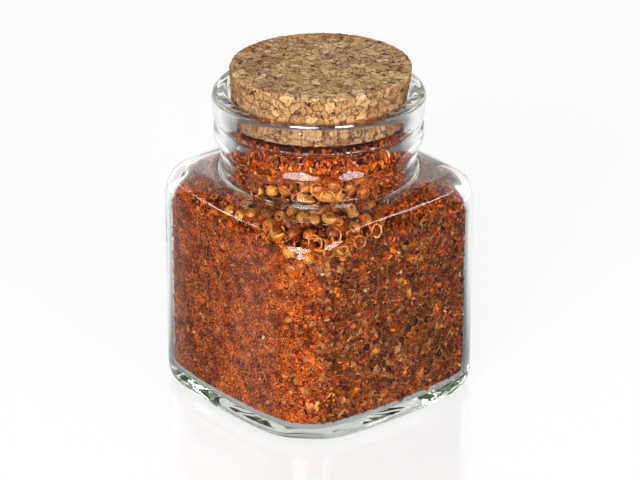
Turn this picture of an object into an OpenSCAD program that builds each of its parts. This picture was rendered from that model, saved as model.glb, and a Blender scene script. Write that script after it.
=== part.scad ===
// Square glass spice jar with a tapered cork stopper, filled with a coarse ground spice mix.
// Origin at the centre of the base, +Z up, the four faces square to X and Y.

/* [Glass body] */
// Width across the middle of two opposite faces
body_w = 63.4; // [58:0.2:72]
// Radius of the bow of each face in plan
side_r = 120; // [90:1:200]
// Radius of the upright corners in plan
corner_r = 11.4; // [9:0.1:13]
// Height of the shoulder's top, where the neck begins
shoulder_z = 57.2; // [52:0.2:62]
// Radius that rolls the faces over into the shoulder
shoulder_r = 10; // [8:0.1:12]
// Distance in from the corners over which the shoulder falls to them
crown_w = 15; // [12:0.1:18]
// Height that the shoulder falls to the corners
crown_h = 7; // [5:0.1:10]
// Radius that rounds the crown into the corners
crown_r = 5; // [4:0.1:6]
// Radius that rounds the corners under at the heel
heel_corner_r = 4.4; // [3:0.1:6]
// Radius that rolls each face under at the heel
heel_r = 1.2; // [0.8:0.1:2]
// Thickness of the walls
wall = 1.7; // [1.4:0.1:2.2]
// Radius of the inside's upright corners
belly_corner_r = 9.8; // [9:0.1:12]
// Thickness of the base
base_t = 3; // [2.4:0.1:5]
// Radius between the inside of the base and the walls
floor_r = 2; // [1.4:0.1:4]

/* [Neck] */
// Thickness of the neck's wall round the stopper
neck_wall = 2.9; // [2.2:0.1:3.6]
// Height of the rim
rim_z = 76.9; // [75.5:0.1:84]
// Radius of the fillet at the foot of the neck
root_r = 1.2; // [0.8:0.1:1.6]
// Depth that the fillet is sunk in the falling shoulder
root_sink = 0.5; // [0.3:0.05:0.6]
// Distance that the bead below the lip stands out of the neck
bead_out = 1.36; // [0.6:0.02:2]
// Distance from the rim down to the middle of the bead
bead_drop = 10.2; // [9:0.1:11]
// Height of the bead
bead_h = 7.6; // [6:0.1:8]
// Distance that the lip band stands out of the neck
lip_out = 2; // [1.6:0.1:3]
// Height of the lip band
lip_h = 7; // [5:0.1:7.4]
// Rounding of the lip band's outer edges
lip_round = 1.5; // [0.8:0.1:2]
// Rounding of the rim's inner edge
mouth_round = 0.8; // [0.4:0.1:1.2]

/* [Cork stopper] */
// Radius of the stopper's bottom, which sets the bore of the neck
cork_low_r = 20.9; // [18.5:0.1:22.5]
// Extra radius at the stopper's top
cork_taper = 1.1; // [0.4:0.1:1.6]
// Height of the stopper
cork_h = 12.3; // [8:0.1:16]
// Height of the stopper that stands out of the rim
cork_proud = 6.2; // [3:0.1:8]
// Worn edge of the stopper
cork_edge = 0.4; // [0.2:0.1:0.8]
// Clearance round the stopper in the neck
cork_gap = 0.1; // [0.05:0.01:0.3]

/* [Spice fill] */
// Distance from the stopper down to the fill
headspace = 5.2; // [4.8:0.1:9]
// Loose layer between the packed fill and the glass
fill_gap = 0.8; // [0.7:0.05:0.9]
// Columns of larger pieces that show on each face
columns = 5; // [4:1:6]
// Rows of larger pieces that show on each face
rows = 6; // [4:1:7]
// Clearance round each larger piece in the fill
piece_gap = 0.1; // [0.05:0.01:0.15]
// Distance that a larger piece may lie from the middle of its cell
scatter = 0.8; // [0:0.1:0.9]
// Radius of a coriander seed
coriander_r = 1.6; // [1.3:0.05:1.8]
// Radius of a mustard seed
mustard_r = 0.85; // [0.7:0.05:1]
// Outer radius of an open husk
husk_r = 1.9; // [1.6:0.05:2.1]
// Thickness of a husk
husk_t = 0.4; // [0.3:0.05:0.5]
// Length of a chilli flake
flake_l = 3.6; // [2.5:0.1:4]
// Width of a chilli flake
flake_w = 2.2; // [1.5:0.1:3]
// Thickness of a chilli flake
flake_t = 0.35; // [0.2:0.05:0.4]
// Length of a stem fibre
stem_l = 4.2; // [3:0.1:5]
// Thickness of a stem fibre
stem_d = 0.35; // [0.2:0.05:0.4]

/* [Hidden] */
$fn = 72;
// Overrun of every cut
over = 1;
// Distance outside the faces and corners at which the rolls that round them over begin
roll_out = 0.05;

cork_z = rim_z + cork_proud - cork_h;
cork_top_z = rim_z + cork_proud;
cork_top_r = cork_low_r + cork_taper;
cork_slope = cork_taper / cork_h;
bore_r = cork_low_r + cork_gap;
neck_r = bore_r + neck_wall;
lip_r = neck_r + lip_out;
mouth_r = bore_r + cork_slope * (cork_h - cork_proud);
fill_z = cork_z - headspace;
bead_z = rim_z - bead_drop;
bead_r = neck_r + bead_out;
bead_curve = (pow(bead_h / 2, 2) + pow(bead_out, 2)) / (2 * bead_out);
belly_w = body_w - 2 * wall;
fill_w = belly_w - 2 * fill_gap;
belly_z = shoulder_z - wall;
belly_side_r = side_r - wall;
belly_roll = shoulder_r - wall;
belly_fall_w = crown_w - wall;
fill_side_r = belly_side_r - fill_gap;
fill_corner_r = belly_corner_r - fill_gap;
fill_roll = belly_roll - fill_gap;

// Distance from the axis to the centre of a corner's arc, along X and along Y
function corner_place(w, side, corner) =
    let (k = side - w / 2)
    (sqrt(2 * pow(side - corner, 2) - k * k) - k) / 2;

// Reach of a bowed square's corners from the axis
function corner_reach(w, side, corner) = corner_place(w, side, corner) * sqrt(2) + corner;

// Square with bowed sides and round corners
module bowed_square(w, side, corner) {
    k = side - w / 2;
    c = corner_place(w, side, corner);
    half = atan2(c, k + c);
    diamond = (side * (cos(half) + sin(half)) - k) * sqrt(2);
    intersection() {
        translate([-k, 0]) circle(side);
        translate([k, 0]) circle(side);
        translate([0, -k]) circle(side);
        translate([0, k]) circle(side);
        rotate(45) square(diamond, center = true);
    }
    for (x = [-c, c], y = [-c, c]) translate([x, y]) circle(corner);
}

// Side view of the body: upright faces, rolled over by top_r at the top and by low_r at the bottom
module side_view(w, low_z, top_z, low_r, top_r) {
    mid = w / 2 + roll_out;
    translate([-mid, low_z + low_r]) square([2 * mid, top_z - top_r - low_z - low_r]);
    translate([top_r - mid, low_z + low_r]) square([2 * (mid - top_r), top_z - low_z - low_r]);
    translate([low_r - mid, low_z]) square([2 * (mid - low_r), top_z - top_r - low_z]);
    for (x = [top_r - mid, mid - top_r]) translate([x, top_z - top_r]) circle(top_r);
    for (x = [low_r - mid, mid - low_r]) translate([x, low_z + low_r]) circle(low_r);
}

// Half section that cuts the corners: a round heel of low_r, and a crown that falls by fall_h over
// fall_w, flat at first and then in a round of fall_r
module corner_section(reach, low_z, top_z, low_r, fall_w, fall_h, fall_r) {
    far = reach + roll_out;
    run = fall_w - fall_r;
    wide_r = (run * run + fall_h * fall_h - fall_r * fall_r) / (2 * (fall_h - fall_r));
    lean = atan2(run, wide_r - fall_h);
    translate([0, low_z + low_r]) square([far, top_z - fall_h - low_z - low_r]);
    translate([0, low_z]) square([far - low_r, top_z - fall_h - low_z]);
    translate([far - low_r, low_z + low_r]) circle(low_r);
    translate([0, low_z + low_r]) square([far - fall_w, top_z - low_z - low_r]);
    translate([far - fall_r, top_z - fall_h]) circle(fall_r);
    intersection() {
        translate([far - fall_w, top_z - wide_r]) circle(wide_r);
        translate([0, low_z + low_r]) square([far - fall_w + wide_r * sin(lean), top_z - low_z]);
    }
}

// A bowed square column with its faces and corners rolled over at both ends
module rounded_column(w, side, corner, low_z, top_z, low_r, heel, top_r, fall_w, fall_h, fall_r)
    intersection() {
        translate([0, 0, low_z - over]) linear_extrude(top_z - low_z + 2 * over)
            bowed_square(w, side, corner);
        rotate([90, 0, 0]) linear_extrude(w + 2 * over, center = true)
            side_view(w, low_z, top_z, low_r, top_r);
        rotate([90, 0, 90]) linear_extrude(w + 2 * over, center = true)
            side_view(w, low_z, top_z, low_r, top_r);
        rotate_extrude()
            corner_section(corner_reach(w, side, corner), low_z, top_z, heel, fall_w, fall_h, fall_r);
    }

// Half section of the neck outside its bore
module neck_section() {
    low = shoulder_z - shoulder_r;
    root_z = shoulder_z - root_sink + root_r;
    translate([bore_r, low]) square([neck_r - bore_r, rim_z - lip_round - low]);
    intersection() {
        translate([bead_r - bead_curve, bead_z]) circle(bead_curve);
        translate([bore_r, bead_z - bead_h / 2]) square([bead_r, bead_h]);
    }
    translate([bore_r, rim_z - lip_h + lip_round])
        square([lip_r - bore_r, lip_h - 2 * lip_round]);
    translate([bore_r, rim_z - lip_h]) square([lip_r - lip_round - bore_r, lip_h]);
    for (z = [rim_z - lip_h + lip_round, rim_z - lip_round])
        translate([lip_r - lip_round, z]) circle(lip_round);
    difference() {
        translate([bore_r, low]) square([neck_r + root_r - bore_r, root_z - low]);
        translate([neck_r + root_r, root_z]) circle(root_r);
    }
}

module glass_jar() color([0.82, 0.88, 0.85, 0.4]) difference() {
    union() {
        rounded_column(body_w, side_r, corner_r, 0, shoulder_z, heel_r, heel_corner_r,
            shoulder_r, crown_w, crown_h, crown_r);
        rotate_extrude() neck_section();
    }
    rounded_column(belly_w, belly_side_r, belly_corner_r, base_t, belly_z, floor_r, floor_r,
        belly_roll, belly_fall_w, crown_h, crown_r);
    translate([0, 0, belly_z - over]) cylinder(cork_z - belly_z + over, r = bore_r);
    translate([0, 0, cork_z]) cylinder(rim_z - cork_z, r1 = bore_r, r2 = mouth_r);
    rotate_extrude() difference() {
        translate([mouth_r - over, rim_z - mouth_round]) square(over + mouth_round);
        translate([mouth_r + mouth_round, rim_z - mouth_round]) circle(mouth_round);
    }
}

module cork_stopper() color([0.72, 0.55, 0.38]) rotate_extrude() polygon([
    [0, cork_z],
    [cork_low_r - cork_edge, cork_z],
    [cork_low_r + cork_slope * cork_edge, cork_z + cork_edge],
    [cork_top_r - cork_slope * cork_edge, cork_top_z - cork_edge],
    [cork_top_r - cork_edge, cork_top_z],
    [0, cork_top_z]]);

// The larger pieces show one to a cell of a grid on each face, and turn from cell to cell
kinds = 5;
turn_step = 47;
scatter_step = 134;
pocket_sides = 8;
cell_w = 2 * corner_place(fill_w, fill_side_r, fill_corner_r) / columns;
cells_low_z = base_t + floor_r;
cell_h = (belly_z - belly_roll - cells_low_z) / rows;

// Which kind of piece a cell holds
function kind(face, column, row) = (2 * column + 3 * row + face) % kinds;

// Puts its children on the packed fill in each cell of one kind, with +Z out towards the glass
module on_faces(wanted) {
    for (face = [0 : 3], column = [0 : columns - 1], row = [0 : rows - 1])
        if (kind(face, column, row) == wanted) {
            along = (column - (columns - 1) / 2) * cell_w + scatter * sin(scatter_step * (row + face));
            up = (row + 1 / 2) * cell_h + scatter * cos(scatter_step * (column - face));
            turn = asin(along / fill_side_r);
            rotate([0, 0, 90 * face])
                translate([fill_w / 2 - fill_side_r, 0, cells_low_z + up])
                rotate([0, 0, turn])
                translate([fill_side_r, 0, 0])
                rotate([0, 90, 0])
                rotate([0, 0, turn_step * (column + 2 * row + face)])
                children();
        }
}

// Corners of a chilli flake, as shares of its length and width
flake_shares = [[-0.5, -0.25], [-0.2, -0.5], [0.33, -0.33], [0.5, 0.2], [0.17, 0.5], [-0.33, 0.33]];

// Depth of a seed's centre in the fill, which leaves half of the loose layer free in front of it
function seed_depth(r) = r - fill_gap / 2;

// Well in the fill that a round piece lies in
module pocket(r, depth) translate([0, 0, -depth - piece_gap])
    cylinder(depth + piece_gap + over, r = (r + piece_gap) / cos(180 / pocket_sides),
        $fn = pocket_sides);

module ground_spice() color([0.6, 0.22, 0.08]) difference() {
    union() {
        rounded_column(fill_w, fill_side_r, fill_corner_r, base_t, belly_z - fill_gap, floor_r, floor_r,
            fill_roll, belly_fall_w, crown_h, crown_r);
        translate([0, 0, belly_z - belly_roll])
            cylinder(fill_z - belly_z + belly_roll, r = bore_r - fill_gap);
    }
    on_faces(0) pocket(coriander_r, seed_depth(coriander_r) + coriander_r);
    on_faces(1) pocket(mustard_r, seed_depth(mustard_r) + mustard_r);
    on_faces(2) pocket(husk_r, husk_r);
}

module coriander_seeds() color([0.72, 0.5, 0.22])
    on_faces(0) translate([0, 0, -seed_depth(coriander_r)]) sphere(coriander_r);

module mustard_seeds() color([0.8, 0.6, 0.3])
    on_faces(1) translate([0, 0, -seed_depth(mustard_r)]) sphere(mustard_r);

module seed_husks() color([0.66, 0.4, 0.16]) on_faces(2) difference() {
    sphere(husk_r);
    sphere(husk_r - husk_t);
    cylinder(husk_r + over, r = husk_r + over);
}

module chilli_flakes() color([0.72, 0.16, 0.05]) on_faces(3) translate([0, 0, piece_gap])
    linear_extrude(flake_t) polygon([for (p = flake_shares) [p.x * flake_l, p.y * flake_w]]);

module stem_fibres() color([0.86, 0.66, 0.4]) on_faces(4)
    translate([-stem_l / 2, 0, piece_gap + stem_d / 2]) rotate([0, 90, 0]) cylinder(stem_l, d = stem_d);

glass_jar();
cork_stopper();
ground_spice();
coriander_seeds();
seed_husks();
mustard_seeds();
chilli_flakes();
stem_fibres();
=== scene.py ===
import math
import random

import bpy
from mathutils import Euler, Matrix, Vector, kdtree, noise


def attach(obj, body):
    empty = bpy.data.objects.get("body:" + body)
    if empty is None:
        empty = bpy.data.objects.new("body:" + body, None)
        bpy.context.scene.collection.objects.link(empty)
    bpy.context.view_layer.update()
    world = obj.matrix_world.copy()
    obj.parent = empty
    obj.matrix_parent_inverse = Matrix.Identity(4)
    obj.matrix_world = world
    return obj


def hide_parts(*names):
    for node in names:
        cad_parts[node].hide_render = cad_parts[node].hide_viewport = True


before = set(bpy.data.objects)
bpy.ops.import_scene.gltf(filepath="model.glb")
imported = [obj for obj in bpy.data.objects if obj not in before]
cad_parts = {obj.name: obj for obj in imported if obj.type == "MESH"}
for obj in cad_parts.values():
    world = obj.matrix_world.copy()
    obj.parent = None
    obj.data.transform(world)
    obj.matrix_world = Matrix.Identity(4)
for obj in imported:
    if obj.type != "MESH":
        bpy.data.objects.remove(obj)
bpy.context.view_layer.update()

# Glass jar
# One piece of clear pressed glass: four bowed faces with round upright corners, a shoulder that
# rolls in from the faces and falls to the corners, and a round neck with a bead and a broad lip.
# The wall is about 1.7 mm thick, the neck nearly 3 mm, and the underside is pushed up a little.
mm = 0.001

# Width across the faces, radius of their bow and of the upright corners, height and roll of the
# shoulder, and how far it falls to the corners.
jar_w, face_bow, corner_r = 63.4, 120, 11.4
shoulder_z, shoulder_r = 57.2, 10
fall_w, fall_h = 15, 7

# Wall, upright corners inside, base, the round between base and walls, and bore of the neck.
wall, belly_corner_r = 1.7, 9.8
base, floor_r = 3, 2
bore_r = 21

# Segments round the jar, and halvings of a ray's length until it ends on the surface.
around = 144
halvings = 26


def smooth_max(a, b, soft):
    """The larger of two values, with a soft change from one to the other."""
    return max(a, b) + max(soft - abs(a - b), 0) ** 2 / (4 * soft)


def round_box(x, z, half, low, top, low_r, top_r):
    """How far a point of a side view lies outside a box whose upper and lower edges are round."""
    r = top_r if z > (low + top) / 2 else low_r
    edge = top - r if z > (low + top) / 2 else low + r
    over_x = abs(x) - half + r
    over_z = z - edge if z > (low + top) / 2 else edge - z
    return math.hypot(max(over_x, 0), max(over_z, 0)) + min(max(over_x, over_z), 0) - r


def corner_place(w, bow, corner):
    """How far from the axis, along X and along Y, the centre of an upright corner lies."""
    k = bow - w / 2
    return (math.sqrt(2 * (bow - corner) ** 2 - k * k) - k) / 2


def body_form(w, bow, corner, low, top, low_r, heel_r, top_r, fall_w, fall_h, soft=1.2):
    """The moulded body as a function: how far (x, y, z) lies outside it, all in millimetres."""
    k = bow - w / 2
    c = corner_place(w, bow, corner)
    half = math.atan2(c, k + c)
    reach = c * math.sqrt(2) + corner

    def outside(x, y, z):
        x, y = abs(x), abs(y)
        turn = math.atan2(y - c, x - c) if x > c and y > c else -1
        if half < turn < math.pi / 2 - half:
            plan = math.hypot(x - c, y - c) - corner
        else:
            plan = max(math.hypot(x + k, y), math.hypot(y + k, x)) - bow
        roll = max(round_box(x, z, w / 2 + 0.35, low, top, low_r, top_r),
                   round_box(y, z, w / 2 + 0.35, low, top, low_r, top_r))
        rho = math.hypot(x, y)
        if z > top - fall_h:
            e = math.hypot(max(rho - reach + fall_w, 0) / fall_w, (z - top + fall_h) / fall_h)
            crown = (e - 1) * fall_h
        else:
            crown = round_box(rho, z, reach + 0.3, low, top + 9, heel_r, heel_r)
        return smooth_max(smooth_max(plan, roll, soft), crown, soft)
    return outside


def meet(outside, turn, rho, z, aim):
    """Where a ray from (rho, z), tilted up by aim degrees in the half plane at turn, leaves the body."""
    c, s = math.cos(turn), math.sin(turn)
    dr, dz = math.cos(math.radians(aim)), math.sin(math.radians(aim))
    near, far = 0.0, 60.0
    for step in range(halvings):
        mid = (near + far) / 2
        r = rho + dr * mid
        if outside(r * c, r * s, z + dz * mid) > 0:
            far = mid
        else:
            near = mid
    return rho + dr * near, z + dz * near


def rings_to_mesh(name, rings, segments):
    """A circle is added and extruded ring by ring, then each ring's points are set by its own rule."""
    bpy.ops.object.select_all(action="DESELECT")
    bpy.ops.mesh.primitive_circle_add(vertices=segments, radius=1 * mm)
    piece = bpy.context.object
    piece.name = name
    bpy.ops.object.mode_set(mode="EDIT")
    bpy.ops.mesh.select_all(action="SELECT")
    for step in rings[1:]:
        bpy.ops.mesh.extrude_region_move(TRANSFORM_OT_translate={"value": (0, 0, 1 * mm)})
    bpy.ops.object.mode_set(mode="OBJECT")
    eighth = {}
    for v in piece.data.vertices:
        k, a = divmod(v.index, segments)
        turn = 2 * math.pi * a / segments
        fold = min(a % (segments // 4), segments // 4 - a % (segments // 4))
        if (k, fold) not in eighth:
            eighth[k, fold] = rings[k](2 * math.pi * fold / segments)
        rho, z = eighth[k, fold]
        v.co = (rho * mm * math.cos(turn), rho * mm * math.sin(turn), z * mm)
    bpy.ops.object.mode_set(mode="EDIT")
    for last in (True, False):
        bpy.ops.mesh.select_all(action="DESELECT")
        bpy.ops.object.mode_set(mode="OBJECT")
        start = (len(rings) - 1) * segments if last else 0
        for i in range(start, start + segments):
            piece.data.vertices[i].select = True
        bpy.ops.object.mode_set(mode="EDIT")
        bpy.ops.mesh.merge(type="CENTER")
    bpy.ops.mesh.select_all(action="SELECT")
    bpy.ops.mesh.normals_make_consistent(inside=False)
    bpy.ops.object.mode_set(mode="OBJECT")
    bpy.ops.object.shade_smooth()
    return piece


def apply_modifier(piece, kind, **settings):
    bpy.ops.object.select_all(action="DESELECT")
    bpy.context.view_layer.objects.active = piece
    piece.select_set(True)
    modifier = piece.modifiers.new(kind.lower(), kind)
    for key, value in settings.items():
        setattr(modifier, key, value)
    bpy.ops.object.modifier_apply(modifier=modifier.name)


def outward_ways(piece):
    """The direction out of the surface at each point, kept as it was before any point moves."""
    return [v.normal.copy() for v in piece.data.vertices]


def level(outside, z):
    """Ring rule: the face of the body at one height."""
    return lambda turn: meet(outside, turn, 0, z, 0)


def shoulder(outside, aim, rho=20, z=46):
    """Ring rule: where a ray from inside the body, aimed up by some degrees, leaves it."""
    return lambda turn: meet(outside, turn, rho, z, aim)


def upright(outside, rho, lift=0.0, inward=0.0):
    """Ring rule: at one distance from the axis, as high as the shoulder is there."""
    return lambda turn: (rho - inward, meet(outside, turn, rho, 40, 90)[1] + lift)


def ring(rho, z):
    """Ring rule: a circle of one radius at one height."""
    return lambda turn: (rho, z)


def inset(outside, share, z, at=0.02):
    """Ring rule: a share of the way out to the body as it is at a height, laid at another height."""
    return lambda turn: (meet(outside, turn, 0, at, 0)[0] * share, z)


jar_out = body_form(w=jar_w, bow=face_bow, corner=corner_r, low=0, top=shoulder_z, low_r=1.2,
                    heel_r=4.4, top_r=shoulder_r, fall_w=fall_w, fall_h=fall_h)
jar_in = body_form(w=jar_w - 2 * wall, bow=face_bow - wall, corner=belly_corner_r, low=base,
                   top=shoulder_z - wall, low_r=floor_r, heel_r=floor_r, top_r=shoulder_r - wall,
                   fall_w=fall_w - wall, fall_h=fall_h)

# The underside, as shares of the way out to the heel and heights; then the outside of the jar going
# up, the lip, and the inside going down to the floor.
under = [(0.02, 0.9), (0.2, 0.88), (0.4, 0.8), (0.6, 0.62),
         (0.76, 0.36), (0.86, 0.14), (0.93, 0.02), (0.985, 0)]
rings = [inset(jar_out, share, z) for share, z in under]
rings += [level(jar_out, z) for z in (0.03, 0.12, 0.3, 0.55, 0.85, 1.2, 1.7, 2.3, 3.1, 4.1, 5.4, 7.2, 10)]
rings += [level(jar_out, 10 + 36 * i / 13) for i in range(1, 14)]
rings += [shoulder(jar_out, aim) for aim in range(3, 61, 4)]
rings += [upright(jar_out, 26.0), upright(jar_out, 25.3)]
neck_root_r = 1.2
rings += [upright(jar_out, 25.1, neck_root_r * (1 - math.cos(math.radians(a))) + 0.02,
                  neck_root_r * math.sin(math.radians(a)))
          for a in (15, 35, 55, 75, 90)]
neck = [(23.9, 59.4), (23.9, 61.2), (23.95, 62.2), (24.15, 63)]
bead = [(24.6, 63.7), (25.05, 64.5), (25.32, 65.3), (25.5, 66.3), (25.52, 67.2), (25.4, 68.1), (25.0, 68.8)]
lip = [(24.72, 69.35), (24.85, 69.9), (25.3, 70.5), (25.55, 71.2), (25.66, 72.1), (25.74, 73.5),
       (25.84, 74.8), (25.86, 75.5), (25.7, 76.15), (25.3, 76.62), (24.7, 76.86), (24, 76.9)]
mouth = [(23.2, 76.9), (22.6, 76.86), (22.1, 76.62), (21.75, 76.2), (21.6, 75.6), (21.42, 74),
         (21.2, 72), (21.04, 70.6), (21.02, 69)]
bore = [(bore_r, 66), (bore_r, 62), (bore_r, 59), (21.03, 57.6), (21.2, 56.7), (21.5, 56.1)]
rings += [ring(rho, z) for rho, z in neck + bead + lip + mouth + bore]
rings += [upright(jar_in, 22.1, 0.1), upright(jar_in, 22.8)]
rings += [shoulder(jar_in, aim) for aim in range(59, 2, -4)]
rings += [level(jar_in, 46 - 38 * i / 13) for i in range(14)]
rings += [level(jar_in, z) for z in (6.4, 5.2, 4.6, 4.1, 3.7, 3.4, 3.2, 3.07)]
rings += [inset(jar_in, share, base, 3.02) for share in (0.98, 0.9, 0.7, 0.45, 0.2, 0.02)]
jar = rings_to_mesh("jar_glass", rings, around)

# The glass is a little uneven: most on the inner faces and in the neck, and a little at the heel.
for v, out_way in zip(jar.data.vertices, outward_ways(jar)):
    ripple = noise.noise(v.co * 60) * 0.09 * mm + noise.noise(v.co * 180) * 0.01 * mm
    if out_way.x * v.co.x + out_way.y * v.co.y < 0 and 4 * mm < v.co.z < 56 * mm:
        v.co -= out_way * (0.1 * mm + ripple)
    elif v.co.z > 57 * mm and v.co.xy.length < 21.7 * mm:
        v.co -= out_way * (0.09 + 0.09 * noise.noise(v.co * 240)) * mm
    elif v.co.z > 3 * mm:
        v.co -= out_way * abs(ripple) * 0.3
    if 0.3 * mm < v.co.z < 9 * mm and out_way.x * v.co.x + out_way.y * v.co.y > 0:
        v.co -= out_way * (0.07 + 0.07 * noise.noise(v.co * 150)) * mm
apply_modifier(jar, "SUBSURF", levels=1, render_levels=1)


def adder(nodes, links):
    """A function that adds a shader node, sets its values and links what feeds it."""
    def add(kind, feeds=None, **values):
        node = nodes.new("ShaderNode" + kind)
        for key, value in values.items():
            if key in node.inputs:
                node.inputs[key].default_value = value
            else:
                setattr(node, key, value)
        for socket, source in (feeds or {}).items():
            links.new(source, node.inputs[socket])
        return node
    return add


def new_finish(piece, name):
    """Puts a new material on a piece, and gives its links, its shader and an adder of nodes."""
    material = bpy.data.materials.new(name)
    material.use_nodes = True
    nodes, links = material.node_tree.nodes, material.node_tree.links
    nodes.clear()
    add = adder(nodes, links)
    out = add("OutputMaterial")
    shader = add("BsdfPrincipled")
    links.new(shader.outputs["BSDF"], out.inputs["Surface"])
    piece.data.materials.clear()
    piece.data.materials.append(material)
    return links, shader, add


def colour_ramp(add, source, stops):
    """A ramp of colours that a value picks from, with its stops as (place, colour)."""
    ramp = add("ValToRGB", {"Fac": source})
    while len(ramp.color_ramp.elements) < len(stops):
        ramp.color_ramp.elements.new(0.5)
    for element, (place, colour) in zip(ramp.color_ramp.elements, stops):
        element.position = place
        element.color = (*colour, 1)
    return ramp.outputs["Color"]


links, shader, add = new_finish(jar, "clear_pressed_glass")
shader.inputs["Base Color"].default_value = (1, 1, 1, 1)
shader.inputs["Transmission Weight"].default_value = 1
shader.inputs["IOR"].default_value = 1.5
place = add("TexCoord")
streaks = add("Mapping", {"Vector": place.outputs["Object"]}, Scale=(60, 60, 18))
smear = add("TexNoise", {"Vector": streaks.outputs["Vector"]}, Scale=1.5, Detail=1)
gloss = colour_ramp(add, smear.outputs["Fac"], [(0.60, (0, 0, 0)), (0.85, (0.02, 0.02, 0.02))])
links.new(gloss, shader.inputs["Roughness"])
flow = add("TexNoise", {"Vector": streaks.outputs["Vector"]}, Scale=2.0, Detail=1)
wave = add("Bump", {"Height": flow.outputs["Fac"]}, Strength=0.035, Distance=0.0003)
links.new(wave.outputs["Normal"], shader.inputs["Normal"])
tint = add("VolumeAbsorption", Color=(0.89, 0.905, 0.88, 1), Density=50)
out = shader.outputs["BSDF"].links[0].to_node
links.new(tint.outputs["Volume"], out.inputs["Volume"])
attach(jar, "jar")
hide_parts("glass_jar")

# Cork stopper
# A tapered plug of agglomerated cork, turned from pressed granules, pushed about 6 mm into the neck
# by hand, so that it leans a little. Pits and torn granules show on the top, and the rim is worn.
cork_low, cork_top = 70.8, 83.07
cork_rings = [ring(rho, cork_low) for rho in (0.3, 5, 10, 15, 18.5, 20.3)]
cork_rings += [ring(20.9 + 1.1 * t, cork_low + 0.35 + 11.4 * t) for t in [i / 12 for i in range(13)]]
cork_rings += [ring(21.9, 82.85), ring(21.6, 83.02)]
cork_rings += [ring(rho, cork_top) for rho in (20.6, 18.4, 16.2, 14, 11.8, 9.6, 7.4, 5.2, 3, 1.2, 0.3)]
cork = rings_to_mesh("cork_plug", cork_rings, 128)
apply_modifier(cork, "SUBSURF", levels=2, render_levels=2)
lean_way = Vector((0.6436, 0.7654, 0))
lean = 0.5 * mm
for v, out_way in zip(cork.data.vertices, outward_ways(cork)):
    p = v.co.copy()
    bent = p + Vector((noise.noise(p * 500), noise.noise(p * 500 + Vector((9, 0, 0))), 0)) * 0.7 * mm
    cell = noise.voronoi(bent * 560)[0]
    pit = noise.voronoi(p * 230 + Vector((3, 1, 7)))[0]
    grain = cell[1] - cell[0]
    joint = 0.16 * max(0, 0.3 - grain) / 0.3
    depth = joint + 0.9 * max(0, 0.24 - pit[0]) + 0.16 * abs(noise.noise(p * 700))
    squeezed_in_neck = 72 * mm <= p.z <= 76 * mm
    if squeezed_in_neck:
        v.co -= out_way * (depth * 0.4 + 0.06) * mm
    else:
        v.co -= out_way * depth * mm
    lift = max(0, (p.z - 74 * mm) / (9 * mm))
    v.co += lean_way * lean * lift


def faded(add, source, start, end, low=0.0, high=1.0):
    """Takes a value from one range to another and gives the result's socket."""
    limits = {"From Min": start, "From Max": end, "To Min": low, "To Max": high}
    fade = add("MapRange", {"Value": source}, **limits)
    return fade.outputs["Result"]


def multiply(add, links, first, second, share):
    """Multiplies two colours by a share, a number or a socket, and gives the colour socket."""
    mix = add("Mix", data_type="RGBA", blend_type="MULTIPLY")
    if isinstance(share, bpy.types.NodeSocket):
        links.new(share, mix.inputs[0])
    else:
        mix.inputs[0].default_value = share
    colours = [socket for socket in mix.inputs if socket.type == "RGBA"]
    links.new(first, colours[0])
    links.new(second, colours[1])
    return [socket for socket in mix.outputs if socket.type == "RGBA"][0]


links, shader, add = new_finish(cork, "agglomerated_cork")
place = add("TexCoord")
warp = add("TexNoise", {"Vector": place.outputs["Object"]}, Scale=270, Detail=5, Roughness=0.65)
bend = add("VectorMath", {0: warp.outputs["Color"]}, operation="SCALE", Scale=0.0055)
spot = add("VectorMath", {0: place.outputs["Object"], 1: bend.outputs["Vector"]}, operation="ADD")
granule = add("TexVoronoi", {"Vector": spot.outputs["Vector"]}, Scale=370, Randomness=1)
edge = add("TexVoronoi", {"Vector": spot.outputs["Vector"]}, feature="DISTANCE_TO_EDGE", Scale=370)
shade = add("SeparateColor", {"Color": granule.outputs["Color"]})
tone = colour_ramp(add, shade.outputs["Red"], [(0.0, (0.34, 0.18, 0.075)), (0.2, (0.45, 0.26, 0.118)),
                                               (0.7, (0.51, 0.31, 0.148)), (1.0, (0.64, 0.42, 0.22))])
fine = add("TexNoise", {"Vector": place.outputs["Object"]}, Scale=1900, Detail=5, Roughness=0.75)
speck = colour_ramp(add, fine.outputs["Fac"], [(0.38, (0.30, 0.22, 0.16)), (0.46, (0.92, 0.90, 0.88)),
                                               (0.62, (1.2, 1.2, 1.2))])
torn = add("TexNoise", {"Vector": place.outputs["Object"]}, Scale=520, Detail=3, Roughness=0.6)
gate = faded(add, torn.outputs["Fac"], 0.53, 0.63, high=0.035)
cracked = add("Math", {0: edge.outputs["Distance"], 1: gate}, operation="SUBTRACT")
seam = colour_ramp(add, cracked.outputs["Value"], [(0.0, (0.14, 0.06, 0.026)), (0.012, (0.6, 0.46, 0.34)),
                                                   (0.027, (1, 1, 1))])
bark = add("TexNoise", {"Vector": spot.outputs["Vector"]}, Scale=420, Detail=5, Roughness=0.7)
fleck = colour_ramp(add, bark.outputs["Fac"], [(0.37, (0.08, 0.035, 0.018)), (0.41, (1, 1, 1))])
fibre = add("TexNoise", {"Vector": place.outputs["Object"]}, Scale=560, Detail=2, Roughness=0.5,
            Distortion=1.2)
torn_dark = (0.22, 0.10, 0.045)
stroke = colour_ramp(add, fibre.outputs["Fac"], [(0.47, (1, 1, 1)), (0.492, torn_dark), (0.508, torn_dark),
                                                 (0.53, (1, 1, 1))])
where_torn = faded(add, torn.outputs["Fac"], 0.46, 0.52)
# Painted light and shade by height: the cork is painted lighter low down, where it goes into the neck, and
# about a third darker on its side above the lip than on its top, as painted shade that tones down the side,
# which the low lamps light more than the top.
height = add("SeparateXYZ", {"Vector": place.outputs["Object"]})
crown = faded(add, height.outputs["Z"], 0.075, 0.083)
shaded_side_tone = (0.70, 0.62, 0.52)
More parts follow.
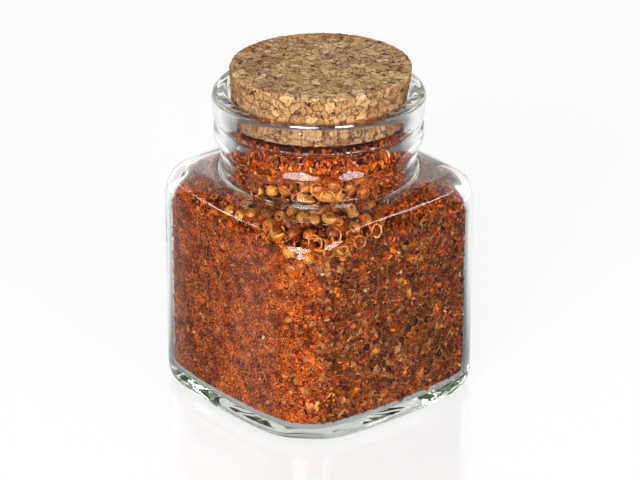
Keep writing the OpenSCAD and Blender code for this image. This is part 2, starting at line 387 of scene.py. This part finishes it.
painted_light_by_height = colour_ramp(add, crown, [(0.0, (1.15, 1.03, 0.90)), (0.22, (1.05, 0.95, 0.84)), (0.4, shaded_side_tone),
                                (0.90, shaded_side_tone), (0.98, (0.98, 0.96, 0.90))])
mixed = multiply(add, links, tone, speck, 0.85)
mixed = multiply(add, links, mixed, seam, 0.85)
mixed = multiply(add, links, mixed, fleck, 0.9)
mixed = multiply(add, links, mixed, stroke, where_torn)
mixed = multiply(add, links, mixed, painted_light_by_height, 1)
links.new(mixed, shader.inputs["Base Color"])
shader.inputs["Roughness"].default_value = 0.85
crack = faded(add, cracked.outputs["Value"], 0, 0.08)
relief = add("Math", {0: crack, 1: fine.outputs["Fac"]}, operation="ADD")
dents = add("Bump", {"Height": relief.outputs["Value"]}, Strength=0.9, Distance=0.0004)
links.new(dents.outputs["Normal"], shader.inputs["Normal"])
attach(cork, "stopper")
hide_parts("cork_stopper")

# Ground spice
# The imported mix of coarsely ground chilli, paprika and coriander that fills the jar to the neck.
# It is redder and finer on the left face, orange at the near corner and browner on the right face.
gap = 0.25
fill_form = body_form(w=jar_w - 2 * wall - 2 * gap, bow=face_bow - wall - gap, corner=belly_corner_r - gap,
                      low=3.3, top=shoulder_z - wall - gap, low_r=floor_r - gap, heel_r=floor_r - gap,
                      top_r=shoulder_r - wall - gap, fall_w=fall_w - wall - gap, fall_h=fall_h)
fill_around = 104
fill_rings = [inset(fill_form, share, 3.42, 3.44) for share in (0.03, 0.3, 0.55, 0.75, 0.9)]
fill_rings += [level(fill_form, z) for z in (3.5, 4, 4.9)]
fill_rings += [level(fill_form, 6 + 40 * i / 24) for i in range(25)]
fill_rings += [shoulder(fill_form, aim) for aim in range(6, 60, 6)]
fill_rings += [upright(fill_form, 23.4), upright(fill_form, 21.8), upright(fill_form, 20.9)]
in_neck = [(20.5, 56.5), (20.5, 58.2), (20.5, 60), (20.5, 61.8), (20.45, 63.4), (20.2, 64.7)]
fill_top = [(19, 65.2), (16, 65.3), (12, 65.3), (8, 65.2), (4, 65.1), (0.4, 65.1)]
fill_rings += [ring(rho, z) for rho, z in in_neck + fill_top]
fill = rings_to_mesh("spice_fill", fill_rings, fill_around)
apply_modifier(fill, "SUBSURF", levels=2, render_levels=2)
pockets = fill.data.attributes.new("pocket", "FLOAT", "POINT")

# The mix is lumpy, flatter at the foot, and lies loose and sunken below the near side of the neck,
# where it is also painted darker the deeper it lies, as painted shade.
near_side, spread_side = -42, 26
for v, out_way in zip(fill.data.vertices, outward_ways(fill)):
    p = v.co.copy()
    cell = noise.voronoi(p * 900)[0]
    lump = noise.voronoi(p * 420 + Vector((5, 2, 9)))[0]
    rough = 0.35 * cell[0] + 0.4 * lump[0] + 0.2 * abs(noise.noise(p * 900))
    rough *= 0.35 + 0.65 * min(1, max(0, (p.z / mm - 5) / 4))
    loose = noise.noise(p * 380) + 0.35
    loose *= min(1, max(0, 1.9 - abs(math.degrees(math.atan2(p.y, p.x)) - near_side) / spread_side))
    if 51 * mm < p.z < 62.5 * mm and loose > 0:
        rough += 1.4 * loose
        pockets.data[v.index].value = min(1, 1.6 * loose)
    v.co = p - out_way * rough * mm
links, shader, add = new_finish(fill, "ground_spice_mix")
place = add("TexCoord")
warp = add("TexNoise", {"Vector": place.outputs["Object"]}, Scale=700, Detail=2)
bend = add("VectorMath", {0: warp.outputs["Color"]}, operation="SCALE", Scale=0.0006)
spot = add("VectorMath", {0: place.outputs["Object"], 1: bend.outputs["Vector"]}, operation="ADD")
cells = add("TexVoronoi", {"Vector": spot.outputs["Vector"]}, Scale=3200)
pick = add("SeparateColor", {"Color": cells.outputs["Color"]})
tones = colour_ramp(add, pick.outputs["Green"], [
    (0.0, (0.035, 0.009, 0.004)), (0.18, (0.22, 0.032, 0.005)), (0.42, (0.50, 0.078, 0.007)),
    (0.7, (0.68, 0.125, 0.011)), (0.88, (0.82, 0.21, 0.02)), (1.0, (0.86, 0.40, 0.10))])
dust = add("TexNoise", {"Vector": place.outputs["Object"]}, Scale=3200, Detail=4, Roughness=0.75)
dusty = colour_ramp(add, dust.outputs["Fac"], [(0.36, (0.16, 0.12, 0.10)), (0.47, (0.9, 0.88, 0.86)),
                                               (0.68, (1.45, 1.3, 1.2))])
powder = multiply(add, links, tones, dusty, 0.85)
cloud = add("TexNoise", {"Vector": place.outputs["Object"]}, Scale=330, Detail=3, Roughness=0.6)
packed = colour_ramp(add, cloud.outputs["Fac"], [(0.36, (0.45, 0.36, 0.32)), (0.5, (0.95, 0.9, 0.85)),
                                                 (0.66, (1.35, 1.45, 1.4))])
powder = multiply(add, links, powder, packed, 0.95)
drift = add("TexNoise", {"Vector": place.outputs["Object"]}, Scale=110, Detail=2, Roughness=0.6)
settled = colour_ramp(add, drift.outputs["Fac"], [(0.38, (0.72, 0.66, 0.6)), (0.52, (1, 1, 1)),
                                                  (0.66, (1.15, 1.25, 1.3))])
powder = multiply(add, links, powder, settled, 0.9)
parts = add("SeparateXYZ", {"Vector": place.outputs["Object"]})
right_face = faded(add, parts.outputs["X"], 0.0262, 0.0288)
browner = colour_ramp(add, right_face, [(0.0, (1, 1, 1)), (1.0, (0.66, 0.82, 1.0))])
powder = multiply(add, links, powder, browner, 1)
# Painted shade: the colour darkens where the loose mix is pushed in deepest.
pocket = add("Attribute", attribute_name="pocket")
painted_pocket_shade = colour_ramp(add, pocket.outputs["Fac"], [(0.0, (1, 1, 1)), (0.7, (0.22, 0.16, 0.14))])
powder = multiply(add, links, powder, painted_pocket_shade, 1)
links.new(powder, shader.inputs["Base Color"])
shader.inputs["Roughness"].default_value = 0.8
shader.inputs["Specular IOR Level"].default_value = 0.12
lumps = add("Math", {0: cells.outputs["Distance"], 1: dust.outputs["Fac"]}, operation="ADD")
dents = add("Bump", {"Height": lumps.outputs["Value"]}, Strength=0.9, Distance=0.0003)
links.new(dents.outputs["Normal"], shader.inputs["Normal"])
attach(fill, "jar")
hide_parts("ground_spice")

# Coriander seeds
# Whole round seeds of 2.5 to 3.5 mm with ten faint ribs from pole to pole and a small point at one end.
# They lie in the mix against the glass, most of them half sunk in it, and crowd below the neck.
neck_from = 52
loose_layer = 0.8


def past_glass(p):
    """How far a point lies outside the jar's inner face, in millimetres."""
    x, y, z = p.x / mm, p.y / mm, p.z / mm
    belly = jar_in(x, y, z)
    return min(belly, math.hypot(x, y) - bore_r) if z > neck_from else belly


def way_out(p):
    """The direction from a point in the fill to the nearest glass."""
    e = 0.05 * mm
    here = past_glass(p)
    steps = (Vector((e, 0, 0)), Vector((0, e, 0)), Vector((0, 0, e)))
    return Vector([past_glass(p + step) - here for step in steps]).normalized()


def kept_shape(piece, shade):
    """Takes a modelled shape as points, faces and a light or dark share for each point."""
    points = [v.co.copy() for v in piece.data.vertices]
    faces = [tuple(f.vertices) for f in piece.data.polygons]
    bpy.data.objects.remove(piece)
    return points, faces, [shade(co) for co in points]


def laid_out(name, places, press=0.04, smooth=False):
    """One piece from many copies: each place is (shape, where, turn matrix, size in mm, colour)."""
    points, faces, colours = [], [], []
    for shape, where, turn, size, colour in places:
        start = len(points)
        for co, dim in zip(shape[0], shape[2]):
            q = where + turn @ (co * size * mm)
            past = past_glass(q)
            if past > -press:
                q = q - way_out(q) * (past + press) * mm
            points.append(q)
            colours.extend((*(colour * dim), 1))
        faces += [tuple(start + i for i in face) for face in shape[1]]
    mesh = bpy.data.meshes.new(name)
    mesh.from_pydata(points, [], faces)
    mesh.color_attributes.new("tint", "FLOAT_COLOR", "POINT").data.foreach_set("color", colours)
    mesh.polygons.foreach_set("use_smooth", [smooth] * len(faces))
    piece = bpy.data.objects.new(name, mesh)
    bpy.context.collection.objects.link(piece)
    return piece


def lying(out_way, tilt, spin):
    """Turns +Z of a modelled shape to the way out, spun about it and tilted a little off it."""
    return (out_way.to_track_quat("Z", "Y").to_matrix()
            @ Euler((random.uniform(-tilt, tilt), random.uniform(-tilt, tilt), spin)).to_matrix())


def tinted(piece, name, scale, spread, roughness, bump, shine=0.5):
    """Finish of scattered pieces: each has its own colour, mottled at the given scale."""
    links, shader, add = new_finish(piece, name)
    own = add("Attribute", attribute_name="tint")
    place = add("TexCoord")
    mottle = add("TexNoise", {"Vector": place.outputs["Object"]}, Scale=scale, Detail=4, Roughness=0.65)
    shade = colour_ramp(add, mottle.outputs["Fac"], [(0.3, (1 - spread,) * 3), (0.55, (1, 1, 1)),
                                                     (0.8, (1 + spread,) * 3)])
    colour = multiply(add, links, own.outputs["Color"], shade, 1)
    links.new(colour, shader.inputs["Base Color"])
    shader.inputs["Roughness"].default_value = roughness
    shader.inputs["Specular IOR Level"].default_value = shine
    dents = add("Bump", {"Height": mottle.outputs["Fac"]}, Strength=bump, Distance=0.0002)
    links.new(dents.outputs["Normal"], shader.inputs["Normal"])


def bearing(p):
    """The side of the jar that a point lies on, in degrees from +X towards +Y."""
    return math.degrees(math.atan2(p.y, p.x))


def spots_on_fill(slices, parts):
    """Points spread over the side and shoulder of the fill, in a fixed order, parts by parts to a patch."""
    outlines = [[ring_at(2 * math.pi * a / slices) for a in range(slices)] for ring_at in fill_rings]
    found = []
    for lower, upper in zip(outlines, outlines[1:]):
        for a in range(slices):
            for i in range(parts * parts):
                up, on = (i // parts) / parts, (i % parts) / parts
                near, far = (Vector(lower[b]).lerp(Vector(upper[b]), up) for b in (a, (a + 1) % slices))
                rho, z = near.lerp(far, on)
                turn = 2 * math.pi * (a + on) / slices
                if z > 3.6 and (z < 64 or rho > 15):
                    found.append(Vector((rho * math.cos(turn), rho * math.sin(turn), z)) * mm)
    return found


spots = spots_on_fill(fill_around, 4)
taken = []

# The larger pieces lie one to a cell of a grid on each face, a little off its middle.
columns, rows, kinds = 5, 6, 5
scatter, scatter_step = 0.8, 134


def grid_cells(wanted):
    """The places on the four faces that the larger pieces of one kind take."""
    w, bow = jar_w - 2 * (wall + loose_layer), face_bow - wall - loose_layer
    low = base + floor_r
    step_z = (shoulder_z - shoulder_r - low) / rows
    step_y = 2 * corner_place(w, bow, belly_corner_r - loose_layer) / columns
    found = []
    for face in range(4):
        for column in range(columns):
            for row in range(rows):
                if (2 * column + 3 * row + face) % kinds == wanted:
                    aside = scatter * math.sin(math.radians(scatter_step * (row + face)))
                    above = scatter * math.cos(math.radians(scatter_step * (column - face)))
                    along = (column - 2) * step_y + aside
                    up = (row + 0.5) * step_z + above
                    turn = math.asin(along / bow)
                    p = Vector((w / 2 - bow + bow * math.cos(turn), bow * math.sin(turn), low + up))
                    found.append(Matrix.Rotation(math.radians(90 * face), 3, "Z") @ p * mm)
    return found


def cluster(count, side, spread, low, high, seed, apart=2.2):
    """Extra places within some degrees of one bearing and between two heights, on the face of the fill."""
    random.seed(seed)
    near = [p for p in spots
            if abs((bearing(p) - side + 180) % 360 - 180) < spread and low * mm < p.z < high * mm]
    chosen = []
    while len(chosen) < count and near:
        p = random.choice(near)
        near = [q for q in near if (q - p).length > apart * mm]
        chosen.append(p)
    return chosen


brown_dust = Vector((0.42, 0.15, 0.04))
red_dust = Vector((0.56, 0.15, 0.025))


def seat(places, shapes, size, depth, tilt, tones, seed, clear=0.9):
    """Lays a shape at each place, with its middle behind the glass at a depth given in its own radii.

    The size is a radius in millimetres, and clear is the share of it that no grain may come within.
    """
    random.seed(seed)
    laid = []
    for p in places:
        out_way = way_out(p)
        r = random.uniform(*size)
        where = p - out_way * (past_glass(p) + r * random.uniform(*depth)) * mm
        tone = Vector(random.choice(tones)) * random.uniform(0.8, 1.2)
        if p.z < 48 * mm:
            tone = tone.lerp(brown_dust if p.x > 26 * mm else red_dust, 0.6)
        taken.append((where, r * mm * clear))
        laid.append((random.choice(shapes), where, lying(out_way, tilt, random.uniform(0, 6.28)), r, tone))
    return laid


bpy.ops.object.select_all(action="DESELECT")
bpy.ops.mesh.primitive_uv_sphere_add(segments=40, ring_count=12, radius=1)
seed = bpy.context.object
for v in seed.data.vertices:
    turn = math.atan2(v.co.y, v.co.x)
    flat = math.hypot(v.co.x, v.co.y)
    swell = 1 + 0.035 * math.cos(10 * turn) * flat
    v.co = (v.co.x * swell, v.co.y * swell, v.co.z * (1.05 + (0.16 if v.co.z > 0.97 else 0)))
# The grooves between the ribs are painted darker than the ribs, as painted shade.
ribbed = kept_shape(seed, lambda co: 0.6 + 0.45 * (0.5 + 0.5 * math.cos(10 * math.atan2(co.y, co.x))))
seed_tones = [(0.70, 0.175, 0.014), (0.86, 0.27, 0.028), (0.48, 0.10, 0.010), (0.98, 0.42, 0.07)]

# A cluster's numbers are how many, the bearing and its half width in degrees, the lowest and highest
# place in millimetres, a seed, and the distance apart.
places = seat(grid_cells(0), [ribbed], (1.35, 1.65), (1.1, 1.4), 3, seed_tones, 21)
places += seat(cluster(44, -48, 42, 56.6, 61.5, 5, 2.7) + cluster(30, -48, 44, 52.5, 56.4, 6, 2.9)
               + cluster(7, -42, 14, 44, 50, 7), [ribbed], (1.25, 1.65), (1.0, 1.12), 3, seed_tones, 22)
seeds = laid_out("coriander_whole_seeds", places, smooth=True)
tinted(seeds, "dry_coriander_seed", 1100, 0.55, 0.28, 0.4)
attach(seeds, "jar")
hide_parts("coriander_seeds")

# Seed husks
# Split coriander husks: thin half shells with a torn rim, most of them open towards the glass, so that
# their curled edges catch the light, and their rims are also painted lighter as a painted highlight, with
# their insides painted dark as painted shade. They lie thickest round the neck and at the near corner.
bpy.ops.object.select_all(action="DESELECT")
bpy.ops.mesh.primitive_uv_sphere_add(segments=20, ring_count=10, radius=1)
shell = bpy.context.object
bpy.ops.object.mode_set(mode="EDIT")
bpy.ops.mesh.select_all(action="SELECT")
bpy.ops.mesh.bisect(plane_co=(0, 0, 0.12), plane_no=(0, 0, 1), clear_outer=True)
bpy.ops.object.mode_set(mode="OBJECT")
for v in shell.data.vertices:
    turn = math.atan2(v.co.y, v.co.x)
    rim = max(0, (v.co.z + 0.35) / 0.5)
    v.co.z += rim * (0.16 * math.sin(3 * turn) + 0.1 * math.sin(7 * turn + 1))
    v.co.x *= 1.12 - 0.12 * rim
    v.co.y *= 0.9
apply_modifier(shell, "SOLIDIFY", thickness=0.13, offset=0)
# The rim band of each husk is painted lighter, as a painted highlight, and its inside darker, as painted
# shade.
husk_shape = kept_shape(shell, lambda co: 1.35 if co.z > -0.02 else 0.28 if co.length < 0.97 else 0.9)
husk_tones = [(0.78, 0.235, 0.024), (0.90, 0.32, 0.042), (0.54, 0.13, 0.015), (0.98, 0.45, 0.09)]
places = seat(grid_cells(2), [husk_shape], (1.2, 1.7), (0.5, 0.8), 0.6, husk_tones, 31)
places += seat(cluster(16, -34, 26, 49, 56, 8, 3.2) + cluster(16, -48, 40, 56.5, 63, 9, 3)
               + cluster(7, -36, 7, 46, 52, 12, 3), [husk_shape],
               (1.3, 1.75), (0.35, 0.6), 0.7, husk_tones, 32, 1.0)
places += seat(cluster(30, -10, 34, 6, 30, 10) + cluster(8, -46, 10, 8, 44, 12), [husk_shape],
               (0.8, 1.4), (0.45, 0.8), 1.4, husk_tones, 33, 0.7)
husks = laid_out("coriander_open_husks", places, smooth=True)
tinted(husks, "torn_seed_husk", 1300, 0.55, 0.3, 0.45)
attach(husks, "jar")
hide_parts("seed_husks")

# Mustard seeds
# Small round yellow-brown seeds, 1.2 to 1.9 mm across, with a faintly pitted skin. They are spread
# through the mix on every face, and most of them are sunk in it.
bpy.ops.object.select_all(action="DESELECT")
bpy.ops.mesh.primitive_uv_sphere_add(segments=16, ring_count=10, radius=1)
seed = bpy.context.object
for v in seed.data.vertices:
    v.co *= 1 + 0.05 * noise.noise(v.co * 2.3)
round_seed = kept_shape(seed, lambda co: 1 + 0.25 * noise.noise(co * 1.5))
mustard_tones = [(0.64, 0.27, 0.05), (0.52, 0.18, 0.03), (0.74, 0.40, 0.11)]
places = seat(grid_cells(1), [round_seed], (0.75, 0.95), (1.1, 1.5), 3, mustard_tones, 41)
places += seat(cluster(8, -90, 40, 8, 50, 13) + cluster(12, -15, 34, 8, 46, 14)
               + cluster(10, -46, 9, 8, 46, 15), [round_seed],
               (0.6, 0.95), (1.05, 1.4), 3, mustard_tones, 42)
mustard = laid_out("mustard_round_seeds", places, smooth=True)
tinted(mustard, "mustard_seed_skin", 3200, 0.25, 0.45, 0.3)
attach(mustard, "jar")
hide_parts("mustard_seeds")

# Chilli flakes
# Thin curled scraps of dried chilli skin, deep red and slightly glossy. They lie flat in the mix
# just behind the glass.
bpy.ops.object.select_all(action="DESELECT")
bpy.ops.mesh.primitive_grid_add(x_subdivisions=6, y_subdivisions=4, size=2)
flake = bpy.context.object
for v in flake.data.vertices:
    edge = max(abs(v.co.x), abs(v.co.y))
    pull = 1 - 0.22 * edge * (1 + noise.noise(v.co * 1.7 + Vector((4, 0, 0))))
    v.co = (v.co.x * pull, v.co.y * 0.62 * pull, 0.16 * noise.noise(v.co * 1.3) - 0.16 * v.co.y ** 2)
apply_modifier(flake, "SOLIDIFY", thickness=0.1, offset=0)
flake_shape = kept_shape(flake, lambda co: 0.8 + 0.5 * abs(co.x))
chilli_tones = [(0.40, 0.050, 0.010), (0.30, 0.035, 0.008), (0.52, 0.10, 0.016), (0.22, 0.03, 0.009)]
places = seat(grid_cells(3), [flake_shape], (1.0, 1.5), (0.2, 0.35), 0.4, chilli_tones, 51, 0.5)
places += seat(cluster(40, -90, 42, 8, 50, 16) + cluster(46, -5, 40, 6, 50, 17)
               + cluster(20, -50, 40, 50, 62, 18), [flake_shape],
               (0.6, 1.2), (0.2, 0.5), 0.7, chilli_tones, 52, 0.4)
flakes = laid_out("chilli_skin_flakes", places, smooth=True)
tinted(flakes, "dried_chilli_skin", 1500, 0.4, 0.45, 0.5, 0.3)
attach(flakes, "jar")
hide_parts("chilli_flakes")

# Stem fibres
# Short pale stalks and fibres, 0.1 to 0.3 mm thick and slightly bent, that lie along the glass. They
# are thinner towards their ends.
bpy.ops.object.select_all(action="DESELECT")
bpy.ops.mesh.primitive_cylinder_add(vertices=6, radius=0.09, depth=2, rotation=(0, math.pi / 2, 0))
stalk = bpy.context.object
bpy.ops.object.transform_apply(location=True, rotation=True, scale=True)
bpy.ops.object.mode_set(mode="EDIT")
for cut in (-0.6, -0.2, 0.2, 0.6):
    bpy.ops.mesh.select_all(action="SELECT")
    bpy.ops.mesh.bisect(plane_co=(cut, 0, 0), plane_no=(1, 0, 0))
bpy.ops.object.mode_set(mode="OBJECT")
for v in stalk.data.vertices:
    thin = 1 - 0.35 * v.co.x ** 2
    v.co = (v.co.x, v.co.y * thin + 0.12 * v.co.x ** 2 + 0.05 * math.sin(3 * v.co.x), v.co.z * thin)
stalk_shape = kept_shape(stalk, lambda co: 1)
stem_tones = [(0.70, 0.38, 0.12), (0.62, 0.28, 0.08), (0.80, 0.52, 0.24)]
places = seat(grid_cells(4), [stalk_shape], (1.1, 1.7), (0.1, 0.2), 0.1, stem_tones, 61, 0.2)
places += seat(cluster(22, -90, 42, 8, 50, 19) + cluster(44, -5, 40, 6, 50, 20)
               + cluster(14, -50, 40, 50, 62, 23), [stalk_shape],
               (0.5, 1.2), (0.12, 0.3), 0.2, stem_tones, 62, 0.2)
stems = laid_out("pale_stalks_and_fibres", places, smooth=True)
tinted(stems, "dry_stalk_fibre", 2500, 0.25, 0.65, 0.3, 0.2)
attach(stems, "jar")
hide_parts("stem_fibres")

# Coarse grains of the mix
# Broken chilli skin, cracked seed and bits of stalk, 0.2 to 1.3 mm, that lie at the face of the fill.
# Each is a chip of a few facets, and those that would touch the glass lie flat against it.


def modelled_chip(kind, stretch, shake, seed, **how):
    """One chip: an operator's shape, scaled, with its points shaken, kept as points and faces."""
    bpy.ops.object.select_all(action="DESELECT")
    getattr(bpy.ops.mesh, "primitive_" + kind + "_add")(**how)
    chip = bpy.context.object
    bpy.ops.object.mode_set(mode="EDIT")
    bpy.ops.mesh.select_all(action="SELECT")
    bpy.ops.transform.resize(value=stretch)
    bpy.ops.transform.vertex_random(offset=shake, seed=seed)
    bpy.ops.object.mode_set(mode="OBJECT")
    return kept_shape(chip, lambda co: 1)


random.seed(11)
chip = modelled_chip("ico_sphere", (1, 0.8, 0.5), 0.24, 3, subdivisions=1, radius=0.5)
chunk = modelled_chip("cube", (0.9, 0.8, 0.65), 0.34, 8, size=1)
crumb = modelled_chip("cube", (0.8, 0.7, 0.7), 0.3, 12, size=1)
shard = modelled_chip("cube", (1.5, 0.5, 0.4), 0.2, 5, size=1)
scrap = modelled_chip("cube", (1.2, 0.95, 0.2), 0.26, 6, size=1)
chips = [chip, chunk, crumb, shard, scrap]
shares = (3, 4, 4, 1, 3)
right_shares = (2, 2, 2, 4, 4)

# Dark and bright chilli skin, orange flesh, brown husk, burnt bits, seed and pale stalk, with how many
# of each lie on the left face, at the corner, on the right face and as dust on the neck wall.
palette = [(0.42, 0.050, 0.005), (0.68, 0.115, 0.008), (0.86, 0.23, 0.018), (0.24, 0.058, 0.012),
           (0.035, 0.013, 0.006), (0.78, 0.33, 0.055), (0.86, 0.55, 0.22)]
odds = {"left": (26, 40, 14, 10, 8, 3, 1), "corner": (12, 30, 34, 8, 10, 10, 3),
        "right": (18, 20, 8, 34, 12, 6, 1.5), "dust": (34, 34, 10, 8, 10, 3, 1)}
widths = {"fine": (0.2, 0.38), "middle": (0.32, 0.6), "coarse": (0.55, 1.0)}
coarseness = {"left": 0.75, "corner": 0.95, "right": 1.3}
dust_count = {"fine": 2600, "middle": 1100, "coarse": 0}
below_shoulder = 50 * mm
crowd = kdtree.KDTree(len(taken))
for i, (where, r) in enumerate(taken):
    crowd.insert(where, i)
crowd.balance()
for grade, count in (("fine", 11000), ("middle", 8500), ("coarse", 3200)):
    places = []
    for i in range(count):
        p = random.choice(spots)
        if p.z < 4.8 * mm:
            continue
        side = bearing(p) + random.uniform(-3, 3)
        zone = "right" if -39 < side < 100 else "corner" if -52 < side <= -39 else "left"
        if p.z > below_shoulder:
            zone = "corner" if side < 30 else "right"

        # The left face is mostly fine powder, so most of the larger grains are left out there.
        thinned_here = grade == "coarse" or noise.noise(p * 260) > -0.05
        if zone == "left" and p.z < below_shoulder and thinned_here and random.random() < 0.85:
            continue
        drawn = {kind: random.uniform(*width) for kind, width in widths.items()}
        size = drawn[grade] * coarseness[zone]
        out_way = way_out(p)
        where = p - out_way * (past_glass(p) + random.uniform(0.0, 0.35) + size * 0.3) * mm
        if 51 * mm < p.z < 62 * mm and -85 < side < 5 and random.random() < 0.6:
            continue
        if any(away < taken[index][1] for middle, index, away in crowd.find_range(where, 1.8 * mm)):
            continue
        patch = 0.5 + noise.noise(p * 330) + 0.5 * noise.noise(p * 700)
        colour = Vector(random.choices(palette, odds[zone])[0])
        colour = colour * random.uniform(0.75, 1.25) * min(1.25, max(0.55, 0.5 + patch))
        if zone == "corner":
            colour = Vector((colour.x, colour.y * 0.8, colour.z * 0.6))
        picked = random.choices(chips, right_shares if zone == "right" else shares)[0]
        places.append((picked, where, lying(out_way, 0.7, random.uniform(0, 6.28)), size, colour))
    for i in range(dust_count[grade]):
        turn = random.uniform(-math.pi, math.pi)
        way = Vector((math.cos(turn), math.sin(turn), 0))
        size = random.uniform(0.25, 0.6)
        where = way * (20.9 - size * 0.3) * mm + Vector((0, 0, random.uniform(64.4, 70.5) * mm))
        colour = Vector(random.choices(palette, odds["dust"])[0]) * random.uniform(0.6, 1.1)
        picked = random.choices(chips, shares)[0]
        places.append((picked, where, lying(way, 0.6, random.uniform(0, 6.28)), size, colour))
    grains = laid_out("spice_grains_" + grade, places)
    tinted(grains, "broken_chilli_and_seed_" + grade, 2600, 0.45, 0.7, 0.5, 0.12)
    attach(grains, "jar")

# Floor, light and camera
# A white table under soft studio light, most of it from the left, seen from above the near corner of
# the jar. Through the glass the table is bright behind the jar and dim on the near side.


def facing(add, source, aim):
    """How far a direction points the way of aim."""
    dot = add("VectorMath", {0: source}, operation="DOT_PRODUCT")
    dot.inputs[1].default_value = aim
    return dot.outputs["Value"]


def larger(add, first, second):
    """The larger of two values."""
    return add("Math", {0: first, 1: second}, operation="MAXIMUM").outputs[0]


def times(add, source, number):
    """A value times a number."""
    product = add("Math", {0: source}, operation="MULTIPLY")
    product.inputs[1].default_value = number
    return product.outputs[0]


def either(add, share, first, second):
    """Two shaders, mixed by a share."""
    return add("MixShader", {0: share, 1: first.outputs[0], 2: second.outputs[0]})


bpy.ops.object.select_all(action="DESELECT")
bpy.ops.mesh.primitive_plane_add(size=3, location=(0, 0, 0))
floor = bpy.context.object
floor.name = "table"
floor.visible_glossy = False
links, shader, add = new_finish(floor, "white_table")
out = shader.outputs["BSDF"].links[0].to_node
shader.inputs["Base Color"].default_value = (0.98, 0.98, 0.98, 1)
shader.inputs["Roughness"].default_value = 0.5
shader.inputs["Specular IOR Level"].default_value = 0.2
path = add("LightPath")
by_eye = path.outputs["Is Camera Ray"]
seen = add("Math", {0: by_eye, 1: path.outputs["Is Glossy Ray"]}, operation="ADD")
seen = add("Math", {0: seen.outputs[0], 1: path.outputs["Is Transmission Ray"]}, operation="ADD",
           use_clamp=True)
way = add("VectorMath", {0: add("TexCoord").outputs["Object"]}, operation="NORMALIZE")
# Painted light: where the table is seen through the glass it glows rather than being lit, bright behind the
# jar, half as bright under and round its foot, and dim further in front of it.
back = faded(add, facing(add, way.outputs["Vector"], (-0.765, 0.643, 0)), 0.3, 0.8, 0.1, 1)
far = add("VectorMath", {0: add("TexCoord").outputs["Object"]}, operation="LENGTH")
near = faded(add, far.outputs["Value"], 0.033, 0.043, 0.5, 0.12)
lit = larger(add, larger(add, back, near), by_eye)
share = add("Math", {0: times(add, seen.outputs[0], 0.95), 1: times(add, by_eye, 0.09)},
            operation="SUBTRACT")
glow = add("Emission", {"Strength": lit}, Color=(1, 1, 1, 1))
blend = either(add, share.outputs[0], shader, glow)
sheen = add("BsdfGlossy", Color=(1, 1, 1, 1), Roughness=0.12)
waxed = either(add, times(add, by_eye, 0.16), blend, sheen)
links.new(waxed.outputs[0], out.inputs["Surface"])

world = bpy.data.worlds.new("studio")
bpy.context.scene.world = world
world.use_nodes = True
world.node_tree.nodes.clear()
links = world.node_tree.links
add = adder(world.node_tree.nodes, links)
out = add("OutputWorld")
path = add("LightPath")
look = add("TexCoord").outputs["Generated"]
behind_jar = (-0.74, 0.63, -0.2)


def sky(dark, bright, start, end, overhead, above=1.0, patches=()):
    """A sky that is bright behind the jar, dark on the side that it is seen from, and lit from above."""
    back = faded(add, facing(add, look, behind_jar), start, end, dark, bright)
    height = add("SeparateXYZ", {0: look}).outputs["Z"]
    brighter = larger(add, back, faded(add, height, 0.05, 0.55, dark, overhead))
    low = add("Math", {0: brighter, 1: faded(add, height, 0.0, 0.15, 1, above)}, operation="MULTIPLY")
    total = low.outputs[0]
    for aim, edge, full, strength in patches:
        total = larger(add, total, faded(add, facing(add, look, aim), edge, full, 0, strength))
    return add("Background", {"Strength": total})


room = sky(0.35, 0.45, -0.4, 0.4, 0.55)
through = sky(0.2, 1.0, 0.35, 0.7, 1.1, 0.62)
mirrored = sky(0.03, 1.0, 0.4, 0.65, 0.12, 0.15,
               [((-0.697, 0.586, 0.413), 0.96, 0.975, 1.0), ((-0.568, -0.702, -0.43), 0.985, 0.999, 0.35)])
whole = either(add, path.outputs["Is Transmission Ray"], room, through)
whole = either(add, path.outputs["Is Glossy Ray"], whole, mirrored)
whole = either(add, path.outputs["Is Camera Ray"], whole, add("Background"))
links.new(whole.outputs[0], out.inputs["Surface"])


def soft_box(name, place, size, watts, reflects=True):
    """An oval lamp that faces the middle of the jar, and shows in reflections or not."""
    lamp = bpy.data.lights.new(name, "AREA")
    lamp.shape = "ELLIPSE"
    lamp.size, lamp.size_y = size
    lamp.energy = watts
    box = bpy.data.objects.new(name, lamp)
    bpy.context.collection.objects.link(box)
    box.location = place
    box.rotation_euler = (Vector((0, 0, 0.04)) - Vector(place)).to_track_quat("-Z", "Y").to_euler()
    box.visible_glossy = reflects


soft_box("key_left", (0.44, -0.82, 0.32), (0.7, 0.6), 16.5, False)
soft_box("key_right", (0.95, -0.02, 0.30), (0.5, 0.5), 8.5, False)
soft_box("back_left", (-1.2, 0.1, 0.5), (1.4, 1.2), 3.2, False)
soft_box("back_right", (-0.1, 1.2, 0.5), (1.4, 1.2), 3.2, False)
soft_box("strip_left", (-0.61, -0.46, 0.41), (0.8, 0.018), 0.36)
soft_box("strip_right", (0.36, 0.52, 0.61), (0.8, 0.018), 0.36)
soft_box("top", (-0.32, 0.22, 0.72), (0.34, 0.11), 0.35)
soft_box("spot_left", (0.44, -0.74, 0.09), (0.09, 0.11), 0.5)
soft_box("spot_right", (0.85, -0.05, 0.06), (0.08, 0.08), 0.2)

# Light runs round in the clear base and walls many times before it leaves them.
inner_bounces = 120
bpy.context.scene.cycles.glossy_bounces = inner_bounces
bpy.context.scene.cycles.transmission_bounces = inner_bounces
bpy.context.scene.cycles.max_bounces = 200

camera_data = bpy.data.cameras.new("camera")
camera = bpy.data.objects.new("camera", camera_data)
bpy.context.collection.objects.link(camera)
camera.location = (0.5802, -0.4875, 0.3805)
looks_at = Vector((0.0002, 0.0002, 0.03694))
camera.rotation_euler = (looks_at - camera.location).to_track_quat("-Z", "Y").to_euler()
camera_data.lens = 191.1
camera_data.sensor_width = 36
camera_data.sensor_fit = "HORIZONTAL"
bpy.context.scene.camera = camera
bpy.context.scene.view_settings.view_transform = "Standard"
